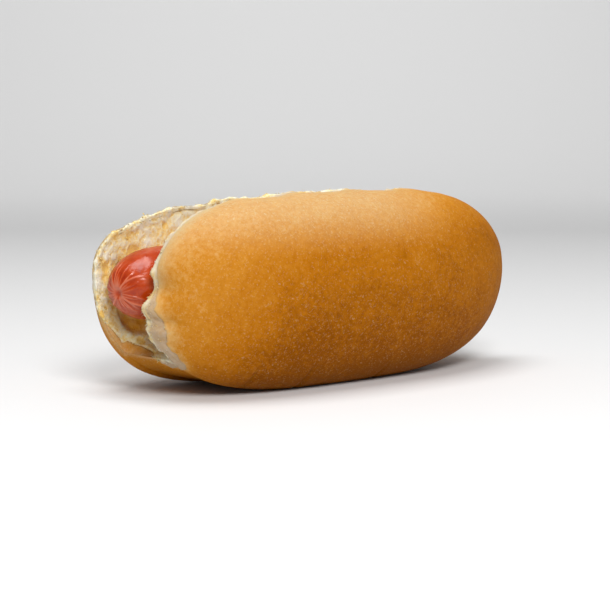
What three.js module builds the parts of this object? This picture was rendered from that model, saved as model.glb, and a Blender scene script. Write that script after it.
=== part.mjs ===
// A hot dog: a soft long bun, split from above and hinged along its base, round one frankfurter.
// Millimetres, +Z up, X along the bun, -Y towards its domed half. The bun stands on its hinge,
// on a small flat spot at Z = 0, with the origin under the middle of the whole.
import * as THREE from "three";
import { ParametricGeometry } from "three/addons/geometries/ParametricGeometry.js";
import { mergeGeometries, mergeVertices } from "three/addons/utils/BufferGeometryUtils.js";

// ---- The two halves of the bun ------------------------------------------------------------
// side: -1 lies towards -Y, 1 towards +Y. thickness: from the cut to the outside. crest and keel:
// how far outside the cut the half is tallest and lowest. Pairs hold for its left and right ends.
// tipHeight: where each end is furthest out. Corners: 2 is a round end, 4 a nearly square one.
const DOMED_HALF = {
  side: -1,
  leftX: -69.5,
  rightX: 79.3,
  height: [62, 62],
  thickness: 27,
  crest: 6,
  keel: 6,
  tipHeight: [31.5, 31.5],
  topCorner: [5.2, 2.8],
  lowCorner: [3.6, 3.0],
  domeCorner: [3.0, 2.5],
  domePower: 0.5,
  flap: 3,
};
const FLAT_HALF = {
  side: 1,
  leftX: -74,
  rightX: 73,
  height: [57.2, 61.5],
  thickness: 21,
  crest: -3,
  keel: 5,
  tipHeight: [37, 34.5],
  topCorner: [3.4, 3.2],
  lowCorner: [4.2, 2.8],
  domeCorner: [3.0, 2.4],
  domePower: 0.6,
  flap: 0,
};
// The torn flap of crumb at the left end of the domed half: its level, its spread in height, the
// station where it begins and how deep it goes behind the cut.
const FLAP = { level: 25, spread: 7, fromStation: 0.75, deep: 8 };
const OUTLINE_POWER = 1 / 2.1; // how an outline closes towards its tips
const SECTION_POWER = 0.95; // how boxy a cross-section is, 1 is an ellipse
const BASE_PRESSED = 0.8; // the base is pressed flat by this much

// ---- The split ----------------------------------------------------------------------------
const HALF_GAP = { base: 7.5, middle: 9.8, lip: 11.6 }; // from Y = 0 to the cut of each half
const MIDDLE_LEVEL = 30;
const LIP_LEVEL = 62;
const WIDER_LEFT = 0.12; // the split is wider by this share at the left end, narrower at the right
const HALF_LENGTH = 75;
const FLOOR_LEVEL = 22; // bottom of the split, under the frankfurter
const FLOOR_HALF_WIDTH = 3.2;
const FLOOR_DIP = 1.2; // the floor is hollow by this much
const NARROWS_OVER = 11; // height over which the split narrows to its floor
const HINGE_END = 0.87; // share of the half length at which the hinge ends
const HINGE_FALL = 6; // how suddenly the floor falls towards the ends of the hinge

// ---- The frankfurter ----------------------------------------------------------------------
const FRANK = { leftX: -73.5, rightX: 71, radius: 11.2, height: 35 };
const FRANK_BEND = 0.6; // its middle lies this far towards +Y of its two ends
const FRANK_ENDS_Y = 2.4;
const FRANK_CAP = 16; // length of each rounded end
const FRANK_CAP_POWER = 0.85;
const FRANK_CURL = { y: -2.6, z: -2.2, over: 26 }; // its ends curl away by this much, over this length
const PLEATS = 12; // folds of the skin that gather at each tip
const PLEAT_DEPTH = 0.3;
const PUCKER = { depth: 0.7, radius: 3 }; // the skin is drawn in at the very tip

// ---- Soft crumb ---------------------------------------------------------------------------
// The frankfurter presses the crumb in: clearance and rounding of the print along the cuts and, a
// little more, along the outlines of the two ends. There the stations from pushedFrom to pushedTo
// take the push up, and it fades over a thickness of bun.
const PRESSED = { clearance: 0.45, rounding: 0.4 };
const PRESSED_EDGE = { clearance: 0.9, rounding: 1, pushedFrom: 0.7, pushedTo: 0.9, fadesOver: 12 };
const CRUMB_RELIEF = 1.2; // unevenness of the torn faces
const LIP_RELIEF = 0.9; // unevenness of the two upper edges
const LIP_TORN_FROM = 0.7; // how far round the outside, 0 to 1, that unevenness begins
const CRUMB_LUMP = 8; // size of the lumps
const CRUMB_SEED = 5; // sets the lumps of the torn faces apart from those of the lips
const EDGE_CALM = 8; // the relief grows this steeply from the edges of a cut

// ---- Mesh resolution ----------------------------------------------------------------------
const ROWS = { tip: 5, middle: 36 };
const COLUMNS = { outside: 15, face: 14, hinge: 4 };
const FRANK_ROWS = { cap: 8, middle: 18 };
const FRANK_SIDES = 4 * PLEATS;
const MERGE_WITHIN = 1e-3; // corners of neighbouring surfaces nearer than this are one corner
const NEARBY = 0.5; // the centre line's direction is taken between two points this far either side

// ---- Small helpers ------------------------------------------------------------------------
const mix = (a, b, t) => a + (b - a) * t;
const clamp01 = (t) => Math.min(1, Math.max(0, t));
const smoothstep = (t) => clamp01(t) ** 2 * (3 - 2 * clamp01(t));
const signedPower = (value, power) => Math.sign(value) * Math.abs(value) ** power;
const atEnds = (pair, station) => mix(pair[0], pair[1], (station + 1) / 2);

// The larger of two numbers, rounded off where they are nearer than blend.
function softMax(a, b, blend) {
  return Math.max(a, b) + Math.max(0, blend - Math.abs(a - b)) ** 2 / (4 * blend);
}

// A random number from -1 to 1 that is always the same for the same three whole numbers.
function scatter(column, row, seed) {
  const wild = Math.sin(127.1 * column + 311.7 * row + 74.7 * seed) * 43758.5453;
  return 2 * (wild - Math.floor(wild)) - 1;
}

// Lumps of CRUMB_LUMP millimetres: random heights at the corners of a lattice, joined smoothly.
function unevenness(x, z, seed) {
  const [column, row] = [Math.floor(x / CRUMB_LUMP), Math.floor(z / CRUMB_LUMP)];
  const along = smoothstep(x / CRUMB_LUMP - column);
  const below = mix(scatter(column, row, seed), scatter(column + 1, row, seed), along);
  const above = mix(scatter(column, row + 1, seed), scatter(column + 1, row + 1, seed), along);
  return mix(below, above, smoothstep(z / CRUMB_LUMP - row));
}

// ---- The frankfurter's centre line and girth ----------------------------------------------
function frankCentre(x) {
  const middleX = (FRANK.leftX + FRANK.rightX) / 2;
  const share = (x - middleX) / (FRANK.rightX - middleX);
  const fromEnd = Math.min(x - FRANK.leftX, FRANK.rightX - x);
  const curl = Math.max(0, 1 - fromEnd / FRANK_CURL.over) ** 2;
  const y = FRANK_ENDS_Y + FRANK_BEND * (1 - share ** 2) + FRANK_CURL.y * curl;
  return new THREE.Vector3(x, y, FRANK.height + FRANK_CURL.z * curl);
}

function frankRadius(x) {
  const fromEnd = Math.min(x - FRANK.leftX, FRANK.rightX - x);
  if (fromEnd <= 0) return 0;
  const cosine = clamp01(1 - fromEnd / FRANK_CAP);
  return FRANK.radius * Math.sqrt(1 - cosine ** 2) ** FRANK_CAP_POWER;
}

// How far from Y = 0 the frankfurter reaches towards a half, at this place.
function frankReach(half, x, z) {
  const centre = frankCentre(x);
  const squared = (frankRadius(x) + PRESSED.clearance) ** 2 - (z - centre.z) ** 2;
  if (frankRadius(x) === 0 || squared <= 0) return 0;
  return half.side * centre.y + Math.sqrt(squared);
}

// ---- The bun's surfaces, station by station -----------------------------------------------
// station runs from -1 at a half's left tip to 1 at its right tip.
const placeX = (half, station) => mix(half.leftX, half.rightX, (station + 1) / 2);
const closing = (station, corners, power) =>
  clamp01(1 - Math.abs(station) ** atEnds(corners, station)) ** power;

// The split's half width where nothing presses on it.
function plainGap(x, z) {
  const low = mix(HALF_GAP.base, HALF_GAP.middle, clamp01(z / MIDDLE_LEVEL));
  const above = clamp01((z - MIDDLE_LEVEL) / (LIP_LEVEL - MIDDLE_LEVEL));
  const widening = 1 - (WIDER_LEFT * x) / HALF_LENGTH;
  return (low + (HALF_GAP.lip - HALF_GAP.middle) * above) * widening;
}

// How much wider it is along the outlines, where it makes way for the frankfurter's two ends.
function pushedWider(half, station, x, z) {
  const { clearance, rounding, pushedFrom, pushedTo } = PRESSED_EDGE;
  const plain = plainGap(x, z);
  const atTip = smoothstep((Math.abs(station) - pushedFrom) / (pushedTo - pushedFrom));
  return atTip * (softMax(plain, frankReach(half, x, z) + clearance, rounding) - plain);
}

// How far torn crumb sticks out past the left end, at a height and a distance outside the cut.
function flapOut(half, station, z, outward) {
  const nearTip = smoothstep((-station - FLAP.fromStation) / (1 - FLAP.fromStation));
  const nearCut = 1 - smoothstep(outward / FLAP.deep);
  return half.flap * nearTip * nearCut * Math.exp(-(((z - FLAP.level) / FLAP.spread) ** 2));
}

// A point of the browned outside. around runs from -1 at the base to 1 at the lip.
function outsidePoint(half, station, around) {
  const widest = around > 0 ? half.crest : half.keel;
  const dome = half.thickness - widest;
  const inward = (Math.abs(widest) / dome) ** (1 / SECTION_POWER);
  const turn = widest > 0 ? Math.PI - Math.acos(inward) : Math.acos(inward);
  const rise = signedPower(Math.sin(around * turn), SECTION_POWER);
  const out = signedPower(Math.cos(around * turn), SECTION_POWER);

  const tipZ = atEnds(half.tipHeight, station);
  const reach = rise > 0
    ? (atEnds(half.height, station) - tipZ) * closing(station, half.topCorner, OUTLINE_POWER)
    : (tipZ + BASE_PRESSED) * closing(station, half.lowCorner, OUTLINE_POWER);
  const x = placeX(half, station);
  const nearLip = smoothstep((around - LIP_TORN_FROM) / (1 - LIP_TORN_FROM));
  const torn = nearLip * closing(station, half.topCorner, 1);
  const z = tipZ + reach * rise + LIP_RELIEF * torn * unevenness(x, 0, half.side);
  const profile = (widest + dome * out) * closing(station, half.domeCorner, half.domePower);
  const bulge = Math.max(0, profile);
  const pushLeft = 1 - smoothstep(bulge / PRESSED_EDGE.fadesOver);
  const pushed = pushedWider(half, station, x, z) * pushLeft;
  const y = half.side * (plainGap(x, z) + pushed + bulge);
  return new THREE.Vector3(x - flapOut(half, station, z, bulge), y, Math.max(0, z));
}

// How far a station is from the middle of the hinge, 0 to 1, staying near 0 for most of the way.
const towardsHingeEnd = (station) => clamp01(Math.abs(station) / HINGE_END) ** HINGE_FALL;

// Where a cut face ends below: on the split's floor, and past the hinge on the outline.
function footLevel(half, station) {
  if (Math.abs(station) >= HINGE_END) return outsidePoint(half, station, -1).z;
  const hingeEnd = outsidePoint(half, Math.sign(station) * HINGE_END, -1).z;
  return mix(FLOOR_LEVEL, hingeEnd, towardsHingeEnd(station));
}

// A point of a torn crumb face. up runs from 0 at its foot to 1 at the lip.
function facePoint(half, station, up) {
  const x = placeX(half, station);
  const lip = outsidePoint(half, station, 1).z;
  const foot = footLevel(half, station);
  const z = mix(foot, lip, up);
  const narrowed = (1 - towardsHingeEnd(station)) * (1 - smoothstep((z - foot) / NARROWS_OVER));
  const outline = plainGap(x, z) + pushedWider(half, station, x, z);
  const open = mix(outline, FLOOR_HALF_WIDTH, narrowed);
  const awayFromEnds = clamp01(EDGE_CALM * (1 - Math.abs(station)));
  const awayFromEdges = smoothstep(EDGE_CALM * up * (1 - up)) * awayFromEnds;
  const torn = CRUMB_RELIEF * awayFromEdges * unevenness(x, z, CRUMB_SEED + half.side);
  const gap = softMax(open + torn, frankReach(half, x, z), PRESSED.rounding);
  return new THREE.Vector3(x - flapOut(half, station, z, 0), half.side * gap, z);
}

// A point of the split's floor. across runs from 0 at the domed half to 1 at the flat half.
function floorPoint(station, across) {
  const point = facePoint(DOMED_HALF, station, 0).lerp(facePoint(FLAT_HALF, station, 0), across);
  point.z -= FLOOR_DIP * Math.sin(Math.PI * across) * (1 - towardsHingeEnd(station));
  return point;
}

// A point of the base, which joins the two halves underneath, from the flat to the domed one.
function basePoint(station, across) {
  return outsidePoint(FLAT_HALF, station, -1).lerp(outsidePoint(DOMED_HALF, station, -1), across);
}

// ---- Meshing ------------------------------------------------------------------------------
// A surface through point(station, across) at each of the stations, closed up to its neighbours.
function patch(stations, columns, point) {
  const last = stations.length - 1;
  const at = (along, across, target) =>
    target.copy(point(stations[Math.round(along * last)], across));
  return new ParametricGeometry(at, last, columns);
}

// Joins surfaces that meet edge to edge into one closed body, without the faces that have no area.
function closedBody(surfaces) {
  const bare = surfaces.map((surface) => surface.deleteAttribute("normal").deleteAttribute("uv"));
  const merged = mergeVertices(mergeGeometries(bare), MERGE_WITHIN);
  const faces = [];
  for (let i = 0; i < merged.index.count; i += 3) {
    const [a, b, c] = [0, 1, 2].map((corner) => merged.index.getX(i + corner));
    if (a !== b && b !== c && c !== a) faces.push(a, b, c);
  }
  merged.setIndex(faces);
  merged.computeVertexNormals();
  return merged;
}

// Numbers from first to last, closer together towards -1 and 1.
function closingUp(first, last, steps) {
  const from = Math.asin(first);
  const to = Math.asin(last);
  return Array.from({ length: steps + 1 }, (_, i) => Math.sin(mix(from, to, i / steps)));
}

function bunGeometry() {
  const hinged = closingUp(-HINGE_END, HINGE_END, ROWS.middle);
  const left = closingUp(-1, -HINGE_END, ROWS.tip).slice(0, -1);
  const right = closingUp(HINGE_END, 1, ROWS.tip).slice(1);
  const whole = [...left, ...hinged, ...right];
  return closedBody([
    patch(whole, COLUMNS.outside, (s, v) => outsidePoint(DOMED_HALF, s, mix(-1, 1, v))),
    patch(whole, COLUMNS.face, (s, v) => facePoint(DOMED_HALF, s, 1 - v)),
    patch(hinged, COLUMNS.hinge, floorPoint),
    patch(whole, COLUMNS.face, (s, v) => facePoint(FLAT_HALF, s, v)),
    patch(whole, COLUMNS.outside, (s, v) => outsidePoint(FLAT_HALF, s, mix(1, -1, v))),
    patch(hinged, COLUMNS.hinge, basePoint),
  ]);
}

// A point of the frankfurter's skin. around goes once round, from 0 to 1.
function frankPoint(x, around) {
  const ahead = frankCentre(x + NEARBY).sub(frankCentre(x - NEARBY)).normalize();
  const sideways = new THREE.Vector3(-ahead.y, ahead.x, 0).normalize();
  const upwards = ahead.clone().cross(sideways);
  const angle = -2 * Math.PI * around;

  const gathered = Math.sin((Math.PI * frankRadius(x)) / FRANK.radius);
  const pleat = (PLEAT_DEPTH * gathered * (1 - Math.cos(PLEATS * angle))) / 2;
  const radius = frankRadius(x) - pleat;
  const drawnIn = PUCKER.depth * (1 - smoothstep(frankRadius(x) / PUCKER.radius));
  const towardsMiddle = x < 0 ? drawnIn : -drawnIn;

  return frankCentre(x)
    .addScaledVector(sideways, radius * Math.cos(angle))
    .addScaledVector(upwards, radius * Math.sin(angle))
    .addScaledVector(ahead, towardsMiddle);
}

function frankGeometry() {
  const places = [];
  for (let i = 0; i <= FRANK_ROWS.cap; i++)
    places.push(FRANK_CAP * (1 - Math.cos((Math.PI / 2) * (i / FRANK_ROWS.cap))));
  const left = places.map((place) => FRANK.leftX + place);
  const right = places.map((place) => FRANK.rightX - place).reverse();
  const between = Array.from({ length: FRANK_ROWS.middle - 1 }, (_, i) =>
    mix(left.at(-1), right[0], (i + 1) / FRANK_ROWS.middle));
  return closedBody([patch([...left, ...between, ...right], FRANK_SIDES, frankPoint)]);
}

// ---- The whole ----------------------------------------------------------------------------
const crust = new THREE.MeshStandardMaterial({ color: "#cf8a3a", roughness: 0.6, metalness: 0 });
const sausage = new THREE.MeshStandardMaterial({ color: "#c4562a", roughness: 0.35, metalness: 0 });

const bun = new THREE.Mesh(bunGeometry(), crust);
bun.name = "bun";
const frankfurter = new THREE.Mesh(frankGeometry(), sausage);
frankfurter.name = "frankfurter";

const hotDog = new THREE.Group();
hotDog.add(bun, frankfurter);
const middle = new THREE.Box3().setFromObject(hotDog).getCenter(new THREE.Vector3());
for (const piece of hotDog.children) piece.position.set(-middle.x, -middle.y, 0);

export default hotDog;
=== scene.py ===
# %% [markdown]
# # A plain hot dog, worked out as surfaces
#
# A soft long bun is split from above and still hangs together along its base. One frankfurter lies in the
# split, and its tip shows at the open left end. What the eye looks for is the contrast between three
# finishes: the smooth golden crust, the pale torn crumb, and the glossy orange-red skin of the sausage.
# Each gets its own piece and its own material here.
#
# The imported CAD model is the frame. Its two nodes say where everything is, and the new pieces stand for
# them.

# %% Load the frame
import math

import bpy
import numpy as np
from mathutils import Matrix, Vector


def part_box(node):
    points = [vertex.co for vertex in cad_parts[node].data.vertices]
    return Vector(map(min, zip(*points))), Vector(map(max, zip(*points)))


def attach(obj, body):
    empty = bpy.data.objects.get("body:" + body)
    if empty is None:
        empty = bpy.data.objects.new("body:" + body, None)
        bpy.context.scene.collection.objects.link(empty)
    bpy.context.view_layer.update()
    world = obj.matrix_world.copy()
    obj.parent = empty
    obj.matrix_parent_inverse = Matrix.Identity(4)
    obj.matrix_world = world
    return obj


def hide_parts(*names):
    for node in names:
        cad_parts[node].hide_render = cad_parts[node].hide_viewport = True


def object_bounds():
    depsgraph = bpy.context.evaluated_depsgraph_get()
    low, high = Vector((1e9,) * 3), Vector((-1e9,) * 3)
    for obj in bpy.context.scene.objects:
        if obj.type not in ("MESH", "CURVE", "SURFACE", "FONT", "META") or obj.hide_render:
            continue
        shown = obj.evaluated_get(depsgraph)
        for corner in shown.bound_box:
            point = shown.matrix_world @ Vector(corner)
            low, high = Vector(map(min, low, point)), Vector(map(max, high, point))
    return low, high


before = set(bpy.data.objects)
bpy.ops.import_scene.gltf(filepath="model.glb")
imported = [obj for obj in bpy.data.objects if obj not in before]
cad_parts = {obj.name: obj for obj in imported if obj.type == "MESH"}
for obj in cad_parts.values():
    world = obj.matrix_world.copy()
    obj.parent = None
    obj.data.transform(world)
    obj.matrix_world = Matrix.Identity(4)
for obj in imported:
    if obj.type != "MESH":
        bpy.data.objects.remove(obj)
cad_box = [list(corner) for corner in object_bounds()]
MM = 0.001
print("box of the solids in mm:", np.round(np.array(cad_box) / MM, 2).tolist())

# %% [markdown]
# ## Camera
#
# The hot dog is seen from a little above the table, turned by 40 degrees, so that its left end comes
# forward. A camera could be aimed with a constraint, but a place and a turn worked out from the two angles
# are simpler to read back. The small shift does what cropping does: it places the hot dog in the frame
# without turning the camera.

# %% Aim the camera
AZIMUTH = math.radians(-40)
ELEVATION = math.radians(6)
AIM = np.array([-2.65, 2.75, 31.0])     # mm, the middle of the hot dog
DISTANCE = 650                          # mm
PIXELS_PER_MM = 3.04                    # at the middle of the hot dog
FRAME_PIXELS = 610
AIM_PIXEL = (302, 283)                  # where the middle is in the frame
SENSOR_WIDTH = 36                       # mm

back = np.array([
    math.sin(AZIMUTH) * math.cos(ELEVATION),
    -math.cos(AZIMUTH) * math.cos(ELEVATION),
    math.sin(ELEVATION),
])
camera_data = bpy.data.cameras.new("camera")
camera_data.sensor_width = SENSOR_WIDTH
camera_data.lens = SENSOR_WIDTH * DISTANCE * PIXELS_PER_MM / FRAME_PIXELS
camera_data.shift_x = (FRAME_PIXELS / 2 - AIM_PIXEL[0]) / FRAME_PIXELS
camera_data.shift_y = (AIM_PIXEL[1] - FRAME_PIXELS / 2) / FRAME_PIXELS
camera = bpy.data.objects.new("camera", camera_data)
bpy.context.scene.collection.objects.link(camera)
camera.location = (AIM + DISTANCE * back) * MM
camera.rotation_euler = (math.pi / 2 - ELEVATION, 0, AZIMUTH)
bpy.context.scene.camera = camera
bpy.context.scene.view_settings.view_transform = "Standard"
print(f"lens {camera_data.lens:.1f} mm, shift {camera_data.shift_x:.4f}, {camera_data.shift_y:.4f}")

# %% [markdown]
# ## Small mathematical tools
#
# Every surface below is a formula on whole arrays. These few helpers blend, round and close shapes. Two do
# most of the work: `eased`, a soft step from one place to another, and `bell`, a soft bump round one place.
# `station` runs from -1 at the left tip of a half to 1 at its right tip.

# %% Blending and closing
def mix(a, b, share):
    """a where share is 0, b where it is 1, and straight between."""
    return a + (b - a) * share


def smoothstep(t):
    """0 below 0, 1 above 1, and an S curve between: 3 t^2 - 2 t^3."""
    t = np.clip(t, 0, 1)
    return t * t * (3 - 2 * t)


def eased(value, start, end):
    """0 at start, 1 at end, and an S curve between. It stays 0 before start and 1 past end, and start may
    be the larger of the two, for a step that goes down."""
    return smoothstep((value - start) / (end - start))


def bell(t):
    """A bell curve, 1 at 0 and nearly 0 past 2 on either side: e to the power of -t^2."""
    return np.exp(-t ** 2)


def unit(vectors):
    """Vectors made one long."""
    return vectors / np.maximum(np.linalg.norm(vectors, axis=-1, keepdims=True), 1e-12)


def soft_max(a, b, blend):
    """The larger of two arrays, rounded off where they are nearer than blend."""
    return np.maximum(a, b) + np.maximum(0, blend - np.abs(a - b)) ** 2 / (4 * blend)


def signed_power(value, power):
    """A power that keeps the sign of its base."""
    return np.sign(value) * np.abs(value) ** power


def at_ends(pair, station):
    """The first of a pair at the left tip, the second at the right tip."""
    return mix(pair[0], pair[1], (station + 1) / 2)


def closing(station, corners, power):
    """1 in the middle and 0 at the tips: (1 - |station|^corner)^power, a superellipse's quarter."""
    return np.clip(1 - np.abs(station) ** at_ends(corners, station), 0, 1) ** power


# %% [markdown]
# ## Random but repeatable
#
# Bread is uneven at every size. Blender's texture nodes are out of reach of numpy, so lumps are made here:
# random numbers at the corners of a lattice, joined smoothly. Mixing whole numbers instead of drawing from
# a generator gives the same value for the same place on every run, whatever order the places come in.

# %% Lumps and pores
def lattice_value(cell, seed):
    """A number from -1 to 1 for each cell: its three whole numbers and the seed, multiplied and folded."""
    i, j, k = (cell[..., n].astype(np.int64) for n in range(3))
    mixed = (i * 374761393 + j * 668265263 + k * 1442695041 + seed * 974634779) & 0xFFFFFFFF
    mixed = ((mixed ^ (mixed >> 13)) * 1274126177) & 0xFFFFFFFF
    return ((mixed ^ (mixed >> 16)) & 0xFFFFFF) / 0x7FFFFF - 1


def lumps(points, size, seed):
    """Smooth random heights from -1 to 1: values at the eight corners of a cell, weighted by S curves."""
    place = points / size
    cell = np.floor(place)
    near = smoothstep(place - cell)
    total = np.zeros(points.shape[:-1])
    for corner in np.ndindex(2, 2, 2):
        weight = np.prod(np.where(corner, near, 1 - near), axis=-1)
        total += weight * lattice_value(cell + corner, seed)
    return total


def layered(points, layers, seed):
    """Lumps of several sizes on top of each other; layers is a list of (size, height)."""
    return sum(height * lumps(points, size, seed + n) for n, (size, height) in enumerate(layers))


def pores(points, size, seed):
    """One point is scattered in each cell, up to 0.45 of its side from the middle. Gives the distance to
    the nearest one, in cells, and its random size."""
    place = points / size
    cell = np.floor(place)
    nearest = np.full(points.shape[:-1], np.inf)
    chosen = np.zeros(points.shape[:-1])
    for step in np.ndindex(3, 3, 3):
        neighbour = cell + np.array(step) - 1
        jitter = np.stack([lattice_value(neighbour, seed + n) for n in range(3)], axis=-1)
        middle = neighbour + 0.5 + 0.45 * jitter
        distance = np.linalg.norm(place - middle, axis=-1)
        closer = distance < nearest
        nearest = np.where(closer, distance, nearest)
        chosen = np.where(closer, lattice_value(neighbour, seed + 3), chosen)
    return nearest, chosen


# %% [markdown]
# ## The frankfurter's line
#
# A frankfurter is a tube of casing filled with fine meat, tied or crimped at each end. It has one girth for
# nearly all of its length, rounded caps, and a slight curl that cooking puts into it. Its middle line and
# its radius are needed first, because the crumb of the bun is pressed in where it lies.

# %% Middle line and girth of the frankfurter
# Millimetres. Its tips would lie at ends_y but for the curl, and its middle lies further out by bend.
FRANK = dict(left_x=-73.5, right_x=71.0, radius=11.2, height=35.0, ends_y=2.4, bend=0.6)
FRANK_CAP = dict(length=16.0, power=0.85)
FRANK_CURL = dict(y=-2.6, z=-2.2, over=26.0)


def from_frank_end(x):
    """Distance along X to the nearer end of the frankfurter."""
    return np.minimum(x - FRANK["left_x"], FRANK["right_x"] - x)


def frank_centre(x):
    """Y and Z of the middle line: a shallow arc, plus a curl that grows as a square towards each end."""
    middle_x = (FRANK["left_x"] + FRANK["right_x"]) / 2
    share = (x - middle_x) / (FRANK["right_x"] - middle_x)
    curl = np.maximum(0, 1 - from_frank_end(x) / FRANK_CURL["over"]) ** 2
    y = FRANK["ends_y"] + FRANK["bend"] * (1 - share ** 2) + FRANK_CURL["y"] * curl
    return y, FRANK["height"] + FRANK_CURL["z"] * curl


def frank_radius(x):
    """Full radius along the middle, falling as a blunted quarter circle over each cap."""
    cosine = np.clip(1 - from_frank_end(x) / FRANK_CAP["length"], 0, 1)
    return FRANK["radius"] * np.sqrt(1 - cosine ** 2) ** FRANK_CAP["power"]


# %% [markdown]
# ## The bun's form
#
# The two halves are alike in kind: each has a flat torn face towards the split and a domed browned outside.
# One could sculpt them or loft curves, but both halves, their ends and the hinge fit one family of
# formulas: a section made of two superellipse quarters, which shrinks to a point at each tip. The numbers
# are those of the solid model, so the dressed bun starts from exactly its form.

# %% Driving sizes of the bun, in millimetres
# side: -1 lies towards -Y, 1 towards +Y. thickness: from the cut to the outside. crest and keel: how far
# outside the cut the half is tallest and lowest. tip_height: where each end is furthest out. Pairs hold for
# the left and right ends. Corners: 2 is a round end, 4 a nearly square one. flap: length of the torn tongue.
DOMED_HALF = dict(
    side=-1, left_x=-69.5, right_x=79.3, height=(62.0, 62.0), thickness=27.0, crest=6.0, keel=6.0,
    tip_height=(31.5, 31.5), top_corner=(5.2, 2.8), low_corner=(3.6, 3.0), dome_corner=(3.0, 2.5),
    dome_power=0.5, flap=3.0,
)
FLAT_HALF = dict(
    side=1, left_x=-74.0, right_x=73.0, height=(57.2, 61.5), thickness=21.0, crest=-3.0, keel=5.0,
    tip_height=(37.0, 34.5), top_corner=(3.4, 3.2), low_corner=(4.2, 2.8), dome_corner=(3.0, 2.4),
    dome_power=0.6, flap=0.0,
)
OUTLINE_POWER = 1 / 2.1         # how an outline closes towards its tips
SECTION_POWER = 0.95            # how boxy a cross-section is, 1 is an ellipse
BASE_PRESSED = 0.8              # the base is pressed flat by this much
# The split: half widths at three levels, its floor, and the hinge, which ends at that share of the length.
SPLIT = dict(
    base=7.5, middle=9.8, lip=11.6, middle_level=30.0, lip_level=62.0, wider_left=0.12, half_length=75.0)
FLOOR = dict(level=22.0, half_width=3.2, dip=1.2, narrows_over=11.0)
HINGE = dict(end=0.87, fall=6)
FLAP = dict(level=25.0, spread=7.0, from_station=0.75, deep=8.0)
# The print of the frankfurter in the cuts and, a little clearer of it, in the outlines of the two ends.
PRESSED = dict(clearance=0.45, rounding=0.4)
PRESSED_EDGE = dict(clearance=0.9, rounding=1.0, from_station=0.7, over=0.2, fades_over=12.0)
# Unevenness of the torn faces and the lips, the size of its lumps, and where it sets in.
RELIEF = dict(face=1.2, lip=0.9, lump=8.0, seed=5, lip_from=0.7, lip_over=0.3, edge_calm=8.0)


def scatter(column, row, seed):
    """A number from -1 to 1: the last digits of a large sine."""
    wild = np.sin(127.1 * column + 311.7 * row + 74.7 * seed) * 43758.5453
    return 2 * (wild - np.floor(wild)) - 1


def unevenness(x, z, seed):
    """The solid model's own lumps: scattered values on a square lattice, joined smoothly."""
    column, row = np.floor(x / RELIEF["lump"]), np.floor(z / RELIEF["lump"])
    along, up = smoothstep(x / RELIEF["lump"] - column), smoothstep(z / RELIEF["lump"] - row)
    below = mix(scatter(column, row, seed), scatter(column + 1, row, seed), along)
    above = mix(scatter(column, row + 1, seed), scatter(column + 1, row + 1, seed), along)
    return mix(below, above, up)


# %% The split's half width
def plain_gap(x, z):
    """From Y = 0 to a cut: wider towards the lips and, a little, towards the left end."""
    low = mix(SPLIT["base"], SPLIT["middle"], np.clip(z / SPLIT["middle_level"], 0, 1))
    above = np.clip((z - SPLIT["middle_level"]) / (SPLIT["lip_level"] - SPLIT["middle_level"]), 0, 1)
    widening = 1 - SPLIT["wider_left"] * x / SPLIT["half_length"]
    return (low + (SPLIT["lip"] - SPLIT["middle"]) * above) * widening


def frank_reach(half, x, z):
    """From Y = 0 to the frankfurter's side towards a half: half a chord of its circle, and its offset."""
    y, level = frank_centre(x)
    squared = (frank_radius(x) + PRESSED["clearance"]) ** 2 - (z - level) ** 2
    touches = (from_frank_end(x) > 0) & (squared > 0)
    return np.where(touches, half["side"] * y + np.sqrt(np.maximum(squared, 0)), 0)


def pushed_wider(half, station, x, z):
    """Extra width along the outlines of the two ends, where they make way for the frankfurter."""
    plain = plain_gap(x, z)
    at_tip = smoothstep((np.abs(station) - PRESSED_EDGE["from_station"]) / PRESSED_EDGE["over"])
    pressed = frank_reach(half, x, z) + PRESSED_EDGE["clearance"]
    return at_tip * (soft_max(plain, pressed, PRESSED_EDGE["rounding"]) - plain)


def flap_out(half, station, z, outward):
    """A tongue of torn crumb past the left end: a bell curve in height that fades away from the cut."""
    near_tip = eased(station, -FLAP["from_station"], -1) * (1 - eased(outward, 0, FLAP["deep"]))
    return half["flap"] * near_tip * bell((z - FLAP["level"]) / FLAP["spread"])


# %% Outside, cut face, floor and base
def place_x(half, station):
    """X of a station between a half's two tips."""
    return mix(half["left_x"], half["right_x"], (station + 1) / 2)


def outside(half, station, around):
    """The browned side. around goes from -1 at the base to 1 at the lip, as the angle of a superellipse."""
    widest = np.where(around > 0, half["crest"], half["keel"])
    dome = half["thickness"] - widest
    inward = (np.abs(widest) / dome) ** (1 / SECTION_POWER)
    turn = np.where(widest > 0, math.pi - np.arccos(inward), np.arccos(inward))
    rise = signed_power(np.sin(around * turn), SECTION_POWER)
    out = signed_power(np.cos(around * turn), SECTION_POWER)
    tip = at_ends(half["tip_height"], station)
    above = (at_ends(half["height"], station) - tip) * closing(station, half["top_corner"], OUTLINE_POWER)
    below = (tip + BASE_PRESSED) * closing(station, half["low_corner"], OUTLINE_POWER)
    x = place_x(half, station)
    near_lip = smoothstep((around - RELIEF["lip_from"]) / RELIEF["lip_over"])
    torn = near_lip * closing(station, half["top_corner"], 1)
    lip = RELIEF["lip"] * torn * unevenness(x, np.zeros_like(x), half["side"])
    z = tip + np.where(rise > 0, above, below) * rise + lip
    profile = (widest + dome * out) * closing(station, half["dome_corner"], half["dome_power"])
    bulge = np.maximum(0, profile)
    pushed = pushed_wider(half, station, x, z) * (1 - eased(bulge, 0, PRESSED_EDGE["fades_over"]))
    y = half["side"] * (plain_gap(x, z) + pushed + bulge)
    return np.stack([x - flap_out(half, station, z, bulge), y, np.maximum(0, z)], axis=-1)


def towards_hinge_end(station):
    """0 for most of the hinge, rising steeply to 1 at its ends."""
    return np.clip(np.abs(station) / HINGE["end"], 0, 1) ** HINGE["fall"]


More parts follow.
